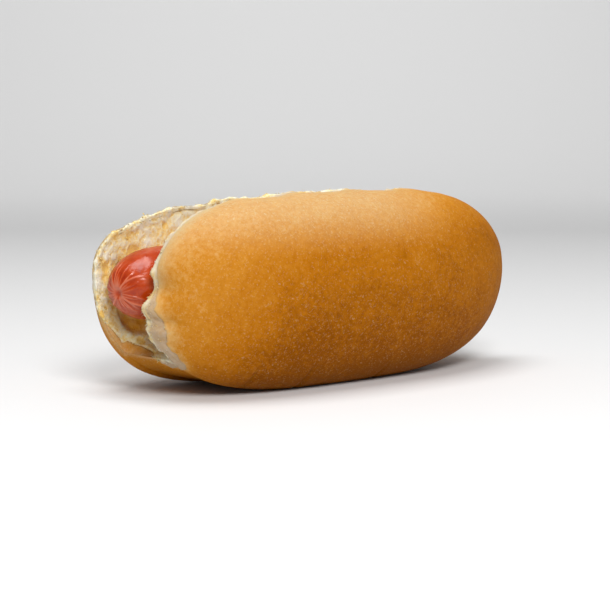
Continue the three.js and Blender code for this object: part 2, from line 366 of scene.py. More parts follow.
def foot_level(half, station):
    """Where a cut ends below: on the floor of the split, and past the hinge on the outline."""
    low = np.full_like(station, -1.0)
    hinge_end = outside(half, np.sign(station) * HINGE["end"], low)[..., 2]
    on_floor = mix(FLOOR["level"], hinge_end, towards_hinge_end(station))
    return np.where(np.abs(station) >= HINGE["end"], outside(half, station, low)[..., 2], on_floor)


def face(half, station, up):
    """The torn side. up goes from 0 at its foot to 1 at the lip; the frankfurter presses it back."""
    x = place_x(half, station)
    foot = foot_level(half, station)
    z = mix(foot, outside(half, station, np.ones_like(station))[..., 2], up)
    narrowed = (1 - towards_hinge_end(station)) * (1 - eased(z - foot, 0, FLOOR["narrows_over"]))
    wide = mix(plain_gap(x, z) + pushed_wider(half, station, x, z), FLOOR["half_width"], narrowed)
    calm = RELIEF["edge_calm"]
    inside = smoothstep(calm * up * (1 - up)) * np.clip(calm * (1 - np.abs(station)), 0, 1)
    torn = RELIEF["face"] * inside * unevenness(x, z, RELIEF["seed"] + half["side"])
    gap = soft_max(wide + torn, frank_reach(half, x, z), PRESSED["rounding"])
    return np.stack([x - flap_out(half, station, z, 0), half["side"] * gap, z], axis=-1)


def floor_of_split(station, across):
    """From the foot of one cut to the foot of the other, with a shallow dip."""
    zero = np.zeros_like(station)
    points = mix(face(DOMED_HALF, station, zero), face(FLAT_HALF, station, zero), across[..., None])
    dip = FLOOR["dip"] * np.sin(math.pi * across) * (1 - towards_hinge_end(station))
    return points - dip[..., None] * np.array([0, 0, 1])


def base(station, across):
    """The underside between the two halves, straight across."""
    low = np.full_like(station, -1.0)
    return mix(outside(FLAT_HALF, station, low), outside(DOMED_HALF, station, low), across[..., None])


# %% [markdown]
# ## From formulas to a closed mesh
#
# Six grids make the bun: two outsides, two cut faces, the floor of the split and the base. They share their
# edges, so welding points that coincide closes the body, with its tips as poles. A Boolean or a remesh
# would lose the even flow of the grid, which the fine relief needs. Rows crowd together towards the tips
# and columns towards the lips, because that is where the shape turns sharply and where the eye lands.

# %% Grids, welding and normals
def crowded(first, last, steps):
    """Numbers from first to last that crowd together towards -1 and 1: sines of even angles."""
    return np.sin(np.linspace(math.asin(first), math.asin(last), steps + 1))


def stations_along(tip_steps, hinge_steps):
    """All stations of the bun, and the slice of them that has a hinge."""
    left = crowded(-1, -HINGE["end"], tip_steps)[:-1]
    middle = crowded(-HINGE["end"], HINGE["end"], hinge_steps)
    right = crowded(HINGE["end"], 1, tip_steps)[1:]
    return np.concatenate([left, middle, right]), middle


def crossed(rows, columns):
    """Every row with every column, as two arrays."""
    return np.meshgrid(rows, columns, indexing="ij")


def bun_patches(steps):
    """The six grids in order round the section, each with whether it is browned (1) or torn (0). steps
    counts their cells: along a tip and the hinge, round the outside, up a face and across the floor."""
    whole, hinged = stations_along(steps["tip"], steps["hinge"])
    outer = crowded(-1, 1, steps["outside"])
    even_up, crowded_up = np.linspace(0, 1, steps["face"] + 1), (1 + crowded(-1, 1, steps["face"])) / 2
    up = mix(even_up, crowded_up, 0.5)
    across = np.linspace(0, 1, steps["floor"] + 1)
    return [
        (outside(DOMED_HALF, *crossed(whole, outer)), 1),
        (face(DOMED_HALF, *crossed(whole, up[::-1])), 0),
        (floor_of_split(*crossed(hinged, across)), 0),
        (face(FLAT_HALF, *crossed(whole, up)), 0),
        (outside(FLAT_HALF, *crossed(whole, outer[::-1])), 1),
        (base(*crossed(hinged, across)), 1),
    ]


def weld(grids):
    """Points that agree to four decimals become one, and each cell becomes two triangles unless it has
    shrunk to a line. Gives the points, the triangles, and each point's place among all grid points."""
    points = np.concatenate([grid.reshape(-1, 3) for grid in grids])
    keys = np.round(points * 10 ** 4).astype(np.int64)
    _, first, index = np.unique(keys, axis=0, return_index=True, return_inverse=True)
    index = index.ravel()
    triangles = []
    start = 0
    for grid in grids:
        rows, columns = grid.shape[:2]
        cell = index[start:start + rows * columns].reshape(rows, columns)
        a, b, c, d = cell[:-1, :-1], cell[1:, :-1], cell[1:, 1:], cell[:-1, 1:]
        triangles += [np.stack(corners, axis=-1).reshape(-1, 3) for corners in ((a, b, c), (a, c, d))]
        start += rows * columns
    triangles = np.concatenate(triangles)
    a, b, c = triangles.T
    return points[first], triangles[(a != b) & (b != c) & (c != a)], first


def cross_products(corners):
    """Each triangle's normal, as long as twice its area: the cross product of two of its sides."""
    return np.cross(corners[:, 1] - corners[:, 0], corners[:, 2] - corners[:, 0])


def point_normals(points, triangles):
    """A point's normal is the sum of the cross products of its triangles, made one long."""
    across = cross_products(points[triangles])
    return unit(np.stack([
        np.bincount(triangles.ravel(), np.repeat(across[:, axis], 3), len(points)) for axis in range(3)
    ], axis=-1))


# %% Where the formulas' millimetres lie in the frame
SKETCH_STEPS = dict(tip=12, hinge=120, outside=60, face=20, floor=4)
frame_low, frame_high = (np.array(corner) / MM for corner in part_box("bun"))
sketch = np.concatenate([grid.reshape(-1, 3) for grid, _ in bun_patches(SKETCH_STEPS)])
TO_FRAME = (frame_low + frame_high) / 2 - (sketch.min(0) + sketch.max(0)) / 2
TO_FRAME[2] = 0
print("bun of the frame:", np.round([frame_low, frame_high], 2).tolist())
print("bun of the formulas:", np.round([sketch.min(0), sketch.max(0)], 2).tolist())
print("moved by", TO_FRAME.round(3))


# %% Putting arrays into a Blender mesh
BOX_LOW, BOX_HIGH = (np.array(corner) / MM for corner in cad_box)


def new_piece(name, points, triangles, values, material, node):
    """Points in the formulas' millimetres become a smooth mesh in the frame that stands for a CAD node.
    values holds one number for each point under each name, for the material to read."""
    placed = np.clip(points + TO_FRAME, BOX_LOW, BOX_HIGH) * MM
    mesh = bpy.data.meshes.new(name)
    mesh.vertices.add(len(placed))
    mesh.vertices.foreach_set("co", placed.astype(np.float32).ravel())
    mesh.loops.add(triangles.size)
    mesh.loops.foreach_set("vertex_index", triangles.astype(np.int32).ravel())
    mesh.polygons.add(len(triangles))
    mesh.polygons.foreach_set("loop_start", np.arange(0, triangles.size, 3, dtype=np.int32))
    mesh.update(calc_edges=True)
    mesh.shade_smooth()
    for label, numbers in values.items():
        attribute = mesh.attributes.new(label, "FLOAT", "POINT")
        attribute.data.foreach_set("value", numbers.astype(np.float32))
    mesh.materials.append(material)
    piece = bpy.data.objects.new(name, mesh)
    bpy.context.scene.collection.objects.link(piece)
    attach(piece, "root")
    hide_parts(node)
    print(f"{name}: {len(points)} points, {len(triangles)} triangles")


# %% [markdown]
# ## One function for all nodes
#
# Materials are node trees. Colours are written as sRGB hex values and turned to the linear values that the
# shader works in. A pattern's scale is one over its real size, because object coordinates are in metres.

# %% Colours and nodes
def linear(hex_colour):
    """sRGB hex to linear RGBA by the standard curve."""
    parts = np.array([int(hex_colour[n:n + 2], 16) / 255 for n in (1, 3, 5)])
    curved = np.where(parts <= 0.04045, parts / 12.92, ((parts + 0.055) / 1.055) ** 2.4)
    return (*curved.tolist(), 1.0)


def per(size_mm):
    """Texture scale for a pattern of this size."""
    return 1 / (size_mm * MM)


def add(tree, kind, inputs=(), stops=(), **settings):
    """Adds a node. settings are its own properties, stops its colour ramp, and inputs its sockets by name
    or number: another node's output is linked, anything else becomes the socket's value."""
    node = tree.nodes.new(kind)
    for name, value in settings.items():
        setattr(node, name, value)
    for name, value in dict(inputs).items():
        if isinstance(value, bpy.types.NodeSocket):
            tree.links.new(value, node.inputs[name])
        else:
            node.inputs[name].default_value = value
    if stops:
        ramp = node.color_ramp
        while len(ramp.elements) < len(stops):
            ramp.elements.new(0.5)
        for element, (position, colour) in zip(ramp.elements, stops):
            element.position = position
            element.color = linear(colour)
    return node


def new_material(name):
    """An empty node tree with an output, ready for a shader."""
    material = bpy.data.materials.new(name)
    material.use_nodes = True
    material.node_tree.nodes.clear()
    return material, material.node_tree


# %% [markdown]
# ## Baked crust
#
# The crust is enriched bread dough, brushed with milk and baked. Browning made it golden where it faced the
# heat and left it pale near the cut, where the bun touched its neighbour in the pan. Close up it is finely
# mottled and scattered with short pale flecks, where the skin of the dough stretched. It has no gloss to
# speak of, only a soft satin, and light goes a little way into it.
#
# The tone comes from an attribute, so that the browning follows the form of the bun. Darker away from the
# left end, towards the foot and at the upper right, it is partly real browning and partly painted shade.
# Noise in object coordinates breaks it up at two real sizes, 9 mm clouds and 1.6 mm mottling.

# %% Material of the crust
crust_material, tree = new_material("baked_bread_crust")
where = add(tree, "ShaderNodeTexCoord").outputs["Object"]
bake_and_shade = add(tree, "ShaderNodeAttribute", attribute_name="bake_and_shade").outputs["Fac"]
pale_flecks = add(tree, "ShaderNodeAttribute", attribute_name="pale_flecks").outputs["Fac"]
clouds = add(tree, "ShaderNodeTexNoise", {"Vector": where, "Scale": per(9), "Detail": 3.0}).outputs["Fac"]
mottling = add(tree, "ShaderNodeTexNoise", {
    "Vector": where, "Scale": per(1.6), "Detail": 6.0, "Roughness": 0.7}).outputs["Fac"]
cloudy = add(tree, "ShaderNodeMath", {0: clouds, 1: 0.22, 2: -0.11}, operation="MULTIPLY_ADD").outputs[0]
spotted = add(tree, "ShaderNodeMath", {0: mottling, 1: 0.6, 2: -0.3}, operation="MULTIPLY_ADD").outputs[0]
uneven = add(tree, "ShaderNodeMath", {0: cloudy, 1: spotted}, operation="ADD").outputs[0]
tone = add(tree, "ShaderNodeMath", {0: bake_and_shade, 1: uneven}, operation="ADD", use_clamp=True).outputs[0]
browned = add(tree, "ShaderNodeValToRGB", {0: tone}, stops=[
    (0.0, "#c2a67c"), (0.25, "#cb9d5a"), (0.5, "#bc7b21"), (0.75, "#ab6608"), (1.0, "#864900"),
]).outputs["Color"]

# %% Flecks and the shader of the crust
fleck_noise = add(tree, "ShaderNodeTexNoise", {
    "Vector": where, "Scale": per(0.6), "Detail": 4.0, "Distortion": 0.8}).outputs["Fac"]
fleck_spots = add(tree, "ShaderNodeMapRange", {
    "Value": fleck_noise, "From Min": 0.56, "From Max": 0.78, "To Max": 0.42}).outputs["Result"]
pale_fleck_noise = add(tree, "ShaderNodeMath", {0: pale_flecks, 1: fleck_noise}, operation="MULTIPLY").outputs[0]
flecks = add(tree, "ShaderNodeMath", {
    0: fleck_spots, 1: pale_fleck_noise}, operation="ADD", use_clamp=True).outputs[0]
flecked = add(tree, "ShaderNodeMix", {
    0: flecks, 6: browned, 7: linear("#c2ad86")}, data_type="RGBA").outputs[2]
grain = add(tree, "ShaderNodeTexNoise", {
    "Vector": where, "Scale": per(1.1), "Detail": 6.0, "Roughness": 0.6}).outputs["Fac"]
fine_bump = add(tree, "ShaderNodeBump", {
    "Height": grain, "Strength": 0.35, "Distance": 0.12 * MM}).outputs["Normal"]
crust_shader = add(tree, "ShaderNodeBsdfPrincipled", {
    "Base Color": flecked, "Roughness": 0.65, "IOR": 1.42, "Specular IOR Level": 0.06,
    "Subsurface Weight": 0.2, "Subsurface Radius": (1.0, 0.45, 0.2), "Subsurface Scale": 1.0 * MM,
    "Normal": fine_bump})
add(tree, "ShaderNodeOutputMaterial", {"Surface": crust_shader.outputs[0]})

# %% [markdown]
# ## Torn crumb
#
# Inside, the bun is a foam of wheat starch and gluten with a skin a few hundredths of a millimetre thick.
# Light scatters through many bubbles before it comes out, so the crumb looks cream-white and soft, and deep
# tears turn ochre, because the light that leaves them has passed through more bread.
#
# The colour follows three attributes, so that it belongs to the form. `recess`, how deep a point lies in the
# relief, also grows in tears, beside the frankfurter and low at the left end, and turns those places ochre:
# painted warm shade. A second attribute is painted shade on the bare crumb along the rims, and `shade` is
# painted shade in the pocket under the frankfurter. Noise breaks the tone up at three real sizes: 5 mm
# patches, 1.7 mm wisps and 0.7 mm bubbles. The middles of the bubbles and the low wisps are painted ochre
# too, painted shade in the pores, and the raised wisps stay pale. The softness is left to subsurface
# scattering.

# %% Material of the crumb
crumb_material, tree = new_material("torn_bread_crumb")
where = add(tree, "ShaderNodeTexCoord").outputs["Object"]
# recess carries painted warm shade: ochre in low places, tears, beside the frankfurter and low at the left
# end.
recess = add(tree, "ShaderNodeAttribute", attribute_name="recess").outputs["Fac"]
patches = add(tree, "ShaderNodeTexNoise", {
    "Vector": where, "Scale": per(5), "Detail": 4.0, "Roughness": 0.6}).outputs["Fac"]
patchy = add(tree, "ShaderNodeMath", {0: patches, 1: 1.3, 2: -0.65}, operation="MULTIPLY_ADD").outputs[0]
wisps = add(tree, "ShaderNodeTexNoise", {
    "Vector": where, "Scale": per(1.7), "Detail": 5.0, "Roughness": 0.65, "Distortion": 1.6}).outputs["Fac"]
wispy = add(tree, "ShaderNodeMath", {0: wisps, 1: -1.3, 2: 0.65}, operation="MULTIPLY_ADD").outputs[0]
astray = add(tree, "ShaderNodeMixRGB", {0: 1.2 * MM, 1: where, 2: wisps}, blend_type="ADD").outputs[0]
cells = add(tree, "ShaderNodeTexVoronoi", {"Vector": astray, "Scale": per(0.7)}).outputs["Distance"]
in_cells = add(tree, "ShaderNodeMath", {0: cells, 1: -0.35, 2: 0.18}, operation="MULTIPLY_ADD").outputs[0]
broken = add(tree, "ShaderNodeMath", {0: patchy, 1: wispy}, operation="ADD").outputs[0]
open_cells = add(tree, "ShaderNodeMath", {0: broken, 1: in_cells}, operation="ADD").outputs[0]
# Painted shade and light beside the crumb's own patches: bubble middles and low wisps turn ochre, raised
# wisps stay pale.
depth = add(tree, "ShaderNodeMath", {0: recess, 1: open_cells}, operation="ADD", use_clamp=True).outputs[0]
foam_colour = add(tree, "ShaderNodeValToRGB", {0: depth}, stops=[
    (0.0, "#dfdccb"), (0.35, "#e1dabd"), (0.65, "#e3d09b"), (1.0, "#deba6b")]).outputs["Color"]
# Painted shade: greyish beige on the bare crumb under the crust's edge and along the domed half's rim.
painted_band_shade = add(tree, "ShaderNodeAttribute", attribute_name="painted_band_shade").outputs["Fac"]
with_band_shade = add(tree, "ShaderNodeMix", {
    0: painted_band_shade, 6: foam_colour, 7: linear("#aa8e72")}, data_type="RGBA").outputs[2]
# Painted shade: ochre-brown in the pocket under the frankfurter.
shade = add(tree, "ShaderNodeAttribute", attribute_name="shade").outputs["Fac"]
crumb_colour = add(tree, "ShaderNodeMix", {
    0: shade, 6: with_band_shade, 7: linear("#da9610")}, data_type="RGBA").outputs[2]

# %% Relief and shader of the crumb
foam = add(tree, "ShaderNodeMath", {0: wisps, 1: 0.6, 2: cells}, operation="MULTIPLY_ADD").outputs[0]
foam_bump = add(tree, "ShaderNodeBump", {
    "Height": foam, "Strength": 0.4, "Distance": 0.3 * MM}).outputs["Normal"]
crumb_shader = add(tree, "ShaderNodeBsdfPrincipled", {
    "Base Color": crumb_colour, "Roughness": 0.95, "Specular IOR Level": 0.04,
    "Subsurface Weight": 0.6, "Subsurface Radius": (1.0, 0.96, 0.8), "Subsurface Scale": 0.8 * MM,
    "Normal": foam_bump})
add(tree, "ShaderNodeOutputMaterial", {"Surface": crumb_shader.outputs[0]})

# %% The same for loose bits
# They are thinner than the distance that light travels inside, so theirs has no subsurface scattering.
loose_material = crumb_material.copy()
loose_material.name = "loose_bread_crumb"
loose_material.node_tree.nodes[crumb_shader.name].inputs["Subsurface Weight"].default_value = 0.0

# %% [markdown]
# ## Where the crust ends
#
# The browned skin stops short of the torn rims, by a millimetre or two along most of the lips and by more
# low at the left end, where the bun was pulled open and the crumb tore out. Cutting the mesh along that
# line would leave a jagged staircase. Instead crust and crumb are two closed bodies that pass through each
# other: the crust dives under near the rims and the crumb dives under everywhere else, so that the visible
# edge is where they cross, as fine and as ragged as their relief makes it.

# %% The rims of the torn sides
RIM_STEPS = dict(tip=30, hinge=260, across=11)


def rim_lines():
    """Points along the lips and, past the hinge, along the lower edges of both halves. First all of them,
    with the two ends of the hinge, and then only those of the flat half, with the hinge's left end."""
    whole, _ = stations_along(RIM_STEPS["tip"], RIM_STEPS["hinge"])
    past_hinge = whole[np.abs(whole) >= HINGE["end"]]
    domed, flat = (
        [outside(half, whole, np.ones_like(whole)), outside(half, past_hinge, -np.ones_like(past_hinge))]
        for half in (DOMED_HALF, FLAT_HALF))
    across = np.linspace(0, 1, RIM_STEPS["across"] + 1)
    left_end, right_end = (base(np.full_like(across, side * HINGE["end"]), across) for side in (-1, 1))
    return np.concatenate(domed + flat + [left_end, right_end]), np.concatenate(flat + [left_end])


def distance_to(line, points):
    """Distance from each point to the nearest one of a line, by |a|^2 + |b|^2 - 2 a.b on whole arrays."""
    squared = (points ** 2).sum(-1)[:, None] + (line ** 2).sum(-1)[None] - 2 * points @ line.T
    return np.sqrt(np.maximum(squared.min(axis=1), 0))


RIM, WRAPPED_RIM = rim_lines()
print(f"{len(RIM)} points along the rims, box in mm:", np.round([RIM.min(0), RIM.max(0)], 1).tolist())


# %% The field that decides between crust and crumb
BARE = dict(lips=(1.1, 1.8), domed_left=(5.8, 0.8), flat_left=(0.8, 2.2), wrap=6.5, hinge_end=2.4)
HINGE_END_X = 63                # mm to either side, where the sharp ends of the hinge lie


def at_hinge_ends(points, spread):
    """1 at the two ends of the hinge: a bell curve along X that is gone above 12 mm."""
    x, _, z = points.T
    return bell((np.abs(x) - HINGE_END_X) / spread) * eased(z, 12, 7)


def bare_width(points):
    """Width of the band without crust, made ragged by lumps. lips holds for the domed and the flat half, the
    other pairs for low and high at the left end. Below 0 the crust wraps over the rim onto the cut by that
    much, as it does low on the flat half."""
    x, y, z = points.T
    at_left = eased(x, -50, -64)
    on_flat = eased(y, -7, 2)
    domed_width = mix(*BARE["domed_left"], eased(z, 22, 36))
    flat_width = mix(*BARE["flat_left"], eased(z, 28, 42)) - BARE["wrap"] * (1 - eased(z, 12, 28))
    hinge_end = BARE["hinge_end"] * at_hinge_ends(points, 5) * (1 - at_left * on_flat)
    ragged = 1 + 0.25 * lumps(points, 5, 11) + 0.2 * lumps(points, 1.8, 12)
    width = mix(mix(*BARE["lips"], on_flat), mix(domed_width, flat_width, on_flat), at_left)
    return (width + hinge_end) * ragged


def crust_field(points, browned):
    """Millimetres inside the crust's edge: positive on crust, negative on bare crumb. Also the distance to
    the rim. On the cut the distance to the rim that the crust may wrap over counts as negative."""
    from_rim = distance_to(RIM, points)
    on_cut = -distance_to(WRAPPED_RIM, points)
    return np.where(browned > 0, from_rim, on_cut) - bare_width(points), from_rim


# %% What both bodies do along the rims
ROUNDED = dict(deep=1.3, over=2.5)                          # mm, the sharp edges at the hinge's ends
TONGUE_EDGES = [(24.7, 1.9, 2.8), (35, 3.8, 2.2)]           # level, spread and how far to the right, mm
CORNER = dict(x=-69, spread=7, upwards=2.0)                 # mm, the upper left corner of the flat half


def rounding(points, from_rim):
    """How far both bodies draw back along the sharp edges at the hinge's ends, to round them off."""
    return ROUNDED["deep"] * at_hinge_ends(points, 7) * (1 - eased(from_rim, 0, ROUNDED["over"]))


def rim_shift(points, from_rim):
    """How far both bodies give way at the left rims: to the right above and below the domed half's tongue
    of crumb, and upwards at the flat half's corner. Bell curves, fading away from the rim."""
    x, y, z = points.T
    beside_tongue = sum(shift * bell((z - level) / spread) for level, spread, shift in TONGUE_EDGES)
    to_right = beside_tongue * (y < 0) * eased(x, -45, -63) * (1 - eased(from_rim, 0, 16))
    at_corner = bell((x - CORNER["x"]) / CORNER["spread"]) * eased(z, 36, 44)
    upwards = CORNER["upwards"] * at_corner * (y > 0) * (1 - eased(from_rim, 0, 11))
    return np.stack([to_right, np.zeros_like(x), upwards], axis=-1)


def bun_body(patches):
    """The welded body, with its kind, crust or crumb, for each point."""
    points, triangles, first = weld([grid for grid, _ in patches])
    browned = np.concatenate([np.full(grid.shape[0] * grid.shape[1], kind) for grid, kind in patches])[first]
    return points, triangles, browned


# %% Relief of the crust
DENTS = [(24, 0.22), (10, 0.12), (4, 0.05)]         # size and height of its dents and swellings, mm
CREASES = [(-39.3, 10), (-19.1, 9), (14.0, 7)]      # X and top of each crease at the domed half's foot, mm
CREASE = dict(deep=0.7, half_width=0.6)


def crust_relief(points):
    """Soft dents and swellings, never above the form that the solid has. Short creases at the foot of the
    domed half are bell curves across X that run out over 4 mm at their tops."""
    x, y, z = points.T
    soft = layered(points, DENTS, 31) - 0.2
    creases = sum(
        CREASE["deep"] * bell((x - place) / CREASE["half_width"]) * (1 - eased(z, top - 4, top))
        for place, top in CREASES)
    return np.minimum(soft, 0) - np.where(y < -15, creases, 0)


# %% How the crust is baked, with painted shade
def baking_and_shade(points, inside, from_rim):
    """Tone from 0, unbrowned, to 1, dark: pale where the crust ends, darker away from the left end and
    towards the foot, partly real browning and partly painted shade. Also how many pale flecks the skin
    carries: along the rims and on top of both halves, less so at the right."""
    x, _, z = points.T
    away = 1 - np.exp(-np.maximum(inside + 0.4 * lumps(points, 6, 21), 0) / 2.5)
    low = eased(z, 54, 0)
    past_left = eased(x, -70, -25)
    upper_right = eased(x, 25, 55) * eased(z, 36, 50)
    low_right = low * eased(x, 35, 65)
    # Darker low down and at the upper right: partly real browning, partly painted shade.
    tone = 0.04 + (0.38 + 0.2 * low - 0.08 * low_right + 0.18 * upper_right) * away
    tone += past_left * (0.29 * eased(z, 62, 40) + 0.1 * low)
    at_left_lip = eased(z, 30, 42) * eased(x, -40, -55)
    pale_flecks = 0.8 * eased(z, 43, 60) * (1 - eased(x, 5, 45))
    pale_flecks += 0.8 * (1 - eased(from_rim, 0, mix(3, 9, at_left_lip)))
    return tone, pale_flecks


# %% The crust as a closed body
CRUST_STEPS = dict(tip=30, hinge=230, outside=112, face=26, floor=8)
SUNK = dict(beside_edge=1.3, on_cut=2.5)        # mm, how deep the crust lies where crumb covers it


def build_crust():
    """Crust proud of the crumb, diving under it within a millimetre of its edge, and deeper on the cut."""
    points, triangles, browned = bun_body(bun_patches(CRUST_STEPS))
    field, from_rim = crust_field(points, browned)
    cover = eased(field, -0.8, 1.0)
    sunk = SUNK["beside_edge"] + SUNK["on_cut"] * eased(from_rim, 1, 5) * (browned == 0)
    lift = mix(-sunk, crust_relief(points), cover) - rounding(points, from_rim)
    bake_and_shade, pale_flecks = baking_and_shade(points, field, from_rim)
    shaped = points + lift[:, None] * point_normals(points, triangles)
    shaped += rim_shift(points, from_rim)
    return shaped, triangles, dict(bake_and_shade=bake_and_shade, pale_flecks=pale_flecks)


points, triangles, values = build_crust()
new_piece("bun_crust", points, triangles, values, crust_material, "bun")


# %% Relief of the crumb
TEARS = [               # X and Z of the deeper tears in the flat half, and their half lengths, mm
    (-70.5, 38, 1.4, 3.0), (-63, 48, 4.5, 2.8), (-47, 51, 6, 3.2), (-30, 50, 7, 4), (12, 48, 9, 5),
    (42, 50, 6, 4),
]
SWELLINGS = [(11, 0.35), (5, 0.2)]                  # size and height, mm
TUFTS = [(2.3, 0.3, 64), (1.3, 0.2, 65)]            # size and height, mm, and seed
BUBBLES = [(4.5, 0.5, 71), (2.4, 0.35, 81)]         # how far apart and how deep, mm, and seed


def tears(points):
    """0 to 1, how deep a point lies in one of the tears: bell curves in X and Z, bent by lumps."""
    x, _, z = (points + 1.5 * lumps(points, 3.5, 66)[:, None]).T
    bells = [
        bell((x - mid_x) / half_x) * bell((z - mid_z) / half_z) for mid_x, mid_z, half_x, half_z in TEARS]
    return np.where(points[:, 1] > 0, np.clip(sum(bells), 0, 1), 0)


def crumb_relief(points):
    """Torn foam. The broad part is swellings and tears. The fine part, bent by 3 mm lumps, is cottony tufts
    with sharp valleys, which are lumps without their sign, less a few opened bubbles."""
    broad = layered(points, SWELLINGS, 51) - 0.2 * tears(points)
    warped = points + 0.9 * np.stack([lumps(points, 3, seed) for seed in (61, 62, 63)], axis=-1)
    tufts = sum(height * (np.abs(lumps(warped, size, seed)) - 0.35) for size, height, seed in TUFTS)
    pits = np.zeros(len(points))
    for apart, deep, seed in BUBBLES:
        from_middle, size = pores(warped, apart, seed)
        opened = smoothstep(1.6 * (1 - from_middle / (0.32 + 0.2 * size))) * (size > 0)
        pits = np.maximum(pits, deep * opened)
    return broad, tufts - pits


def beside_frank(points):
    """1 against the frankfurter and 0 from 5 mm away: the crumb is painted yellower there, as painted
    warm shade beside the frankfurter.
    """
    x, y, z = points.T
    centre_y, centre_z = frank_centre(x)
    past_cap = np.maximum(0, FRANK["radius"] - from_frank_end(x))
    distance = np.sqrt((y - centre_y) ** 2 + (z - centre_z) ** 2 + past_cap ** 2) - FRANK["radius"]
    return 1 - eased(distance, 0, 5)


# %% Parts of the crumb that differ
def in_pocket(points, browned, from_rim):
    """1 in the pocket of the cut under the frankfurter, between two levels and well inside the rim."""
    z = points[:, 2]
    return eased(z, 28, 22) * eased(z, 16.5, 20.5) * eased(from_rim, 5.5, 7.3) * (browned == 0)


def raised_lip(points, browned, from_rim):
    """Height in mm added to the flat half: a bell curve at the middle of its lip. On the upper part of its
    cut the solid's own swellings are taken away again, so that no crease runs along the lip."""
    x, y, z = points.T
    at_middle = 0.8 * (y > 0) * bell(x / 16) * (1 - eased(from_rim, 0, 3))
    on_flat_cut = (y > 0) * (browned == 0) * eased(z, 38, 46)
    swellings = RELIEF["face"] * unevenness(x, z, RELIEF["seed"] + FLAT_HALF["side"])
    return at_middle + on_flat_cut * swellings * eased(from_rim, 0, 4.5)


def crumb_tones(points, browned, from_rim, broad, fine, pocket):
    """recess grows where the relief is low, in tears, beside the frankfurter and low down at the left end,
    where it paints the crumb ochre: painted warm shade. The second tone is painted shade on the bare crumb
    under the crust's edge and along the domed half's rim, and shade is painted shade in the pocket."""
    x, y, z = points.T
    low_left = eased(z, 30, 22) * eased(x, -50, -60) * (y > -4)
    recess = 0.35 - 0.35 * broad - 1.2 * fine + 0.25 * tears(points)
    recess += 0.35 * beside_frank(points) + 0.25 * low_left
    # Painted shade on the bare crumb beside the crust and along the domed half's rim.
    under_crust = 0.85 * eased(from_rim, 0, 2) * (browned > 0)
    on_domed_rim = 0.5 * (1 - eased(from_rim, 0, 3)) * (y < 0) * eased(z, 24, 30)
    return dict(recess=recess, painted_band_shade=np.maximum(under_crust, on_domed_rim), shade=0.8 * pocket)


# %% The crumb as a closed body
CRUMB_STEPS = dict(tip=38, hinge=250, outside=34, face=92, floor=14)
ROUGHNESS = [(3.0, 0.35), (1.3, 0.25)]      # size and height of the lumps along the rims, mm
POCKET_DEPTH = 1.6                          # mm
UNDER_CRUST = 1.0                           # mm, how deep the crumb lies where crust covers it


def build_crumb():
    """Crumb at the surface on the torn sides and the bare bands, and under the crust elsewhere. Its foam
    gives way to rougher lumps at the rims, and its pocket under the frankfurter is sunk. Gives the points,
    triangles, tones, and from 0 to 1 how bare each point is, how near the rim and how far in the pocket."""
    points, triangles, browned = bun_body(bun_patches(CRUMB_STEPS))
    field, from_rim = crust_field(points, browned)
    covered = eased(field, -0.1, 1.7)
    broad, fine = crumb_relief(points)
    at_rim = 1 - eased(from_rim, 0, 3)
    pocket = in_pocket(points, browned, from_rim)
    torn = (broad + fine) * (1 - 0.7 * at_rim) + 0.3 * at_rim + raised_lip(points, browned, from_rim)
    torn += (at_rim + (browned > 0) + pocket) * layered(points, ROUGHNESS, 57)
    torn -= rounding(points, from_rim) + POCKET_DEPTH * pocket
    lift = mix(torn, -UNDER_CRUST, covered)
    shaped = points + lift[:, None] * point_normals(points, triangles)
    shaped += rim_shift(points, from_rim)
    tones = crumb_tones(points, browned, from_rim, broad, fine, pocket)
    return shaped, triangles, tones, 1 - covered, at_rim, pocket


points, triangles, values, bare, at_rim, pocket = build_crumb()
new_piece("bun_crumb", points, triangles, values, crumb_material, "bun")

# %% [markdown]
# ## Loose bits of crumb
#
# Where soft bread tears, its bubble walls come apart into granules, ragged flakes and a few fine fibres.
# Hair and particle systems would be lost in an export, so each kind is one mesh: a small template of points
# is bent and stretched at random for every bit, and laid in a frame of its own on the crumb's surface. More
# of them sit along the rims and at the open left end, and fewer high on the domed half and in the pocket.

# %% Where loose bits lie
random = np.random.default_rng(20)
CRUMB_SURFACE = dict(points=points, triangles=triangles, **values)


def chance_by_place(on_faces, less_in_pocket):
    """How likely a bit is at each point of the crumb, as a product of shares for all that matters there."""
    x, y, z = CRUMB_SURFACE["points"].T
    more_at_left = 1 + 1.2 * eased(x, -35, -60)
    fewer_high_on_domed = 1 - 0.75 * (y < 0) * eased(z, 32, 38)
    by_place = more_at_left * fewer_high_on_domed
    return bare * (on_faces + at_rim) * by_place * (1 - less_in_pocket * pocket)


